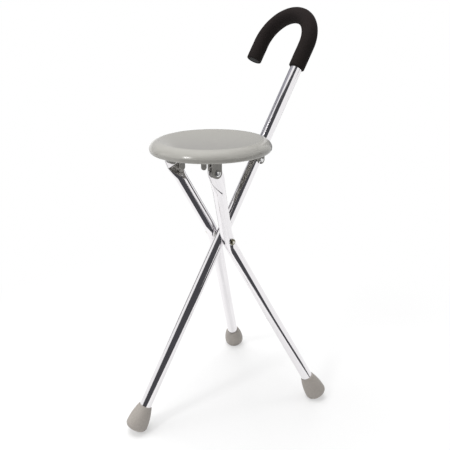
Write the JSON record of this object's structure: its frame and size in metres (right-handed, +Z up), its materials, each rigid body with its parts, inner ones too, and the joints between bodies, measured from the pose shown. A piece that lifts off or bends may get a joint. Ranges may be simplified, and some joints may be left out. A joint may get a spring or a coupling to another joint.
{
  "type": "walking stick seat",
  "caption": "Folding walking stick with a crook handle, foam grip, two bent legs bolted across it and a round moulded seat hinged on the leg tops and hooked on the stick.",
  "frame": {"origin": "middle of the overall box on the floor, 38 mm from the seat's centre line towards the handle", "axes": "+Z up, +X towards the side the stick's handle leans to, +Y across, towards the leg on the crook's side; the stick lies in the XZ plane and all hinge axes are parallel to Y"},
  "size_m": [0.4764, 0.3032, 0.7443],
  "materials": {
    "polished_aluminium": "polished",
    "zinc_steel": "zinc plated",
    "grey_plastic": "satin",
    "black_foam": "matt foam",
    "grey_rubber": "matt",
    "black_plastic": "matt",
    "white_nylon": "satin"
  },
  "bodies": {
    "legs": {"right_leg_tube": "polished_aluminium", "left_leg_tube": "polished_aluminium", "right_leg_ferrule": "grey_rubber", "left_leg_ferrule": "grey_rubber", "leg_ferrule_washers": "zinc_steel", "pivot_bolt": "zinc_steel", "pivot_cap_nut": "zinc_steel", "pivot_outer_washers": "zinc_steel", "pivot_spacers": "white_nylon"},
    "stick": {"stick_tube": "polished_aluminium", "stick_pivot_bush": "white_nylon", "foam_grip": "black_foam", "handle_end_plug": "black_plastic", "stick_ferrule": "grey_rubber", "stick_ferrule_washer": "zinc_steel", "catch_pin": "zinc_steel"},
    "seat": {"seat_shell": "grey_plastic", "right_hinge_bracket": "grey_plastic", "left_hinge_bracket": "grey_plastic", "stick_catch": "grey_plastic", "stick_cradle": "grey_plastic", "hinge_screws": "zinc_steel", "hinge_nuts": "zinc_steel", "hinge_washers": "white_nylon", "bracket_screws": "zinc_steel"}
  },
  "joints": [
    {"name": "stick_fold", "type": "hinge", "parent": "legs", "child": "stick", "pos_m": [-0.01833, 0, 0.33937], "axis": [0, -1, 0], "range_deg": [0, 54]},
    {"name": "seat_fold", "type": "hinge", "parent": "legs", "child": "seat", "pos_m": [-0.07877, 0, 0.486], "axis": [0, -1, 0], "range_deg": [0, 112.1]}
  ],
  "couplings": [
    {"joint": "seat_fold", "follows": "stick_fold", "ratio": 2.0757}
  ]
}
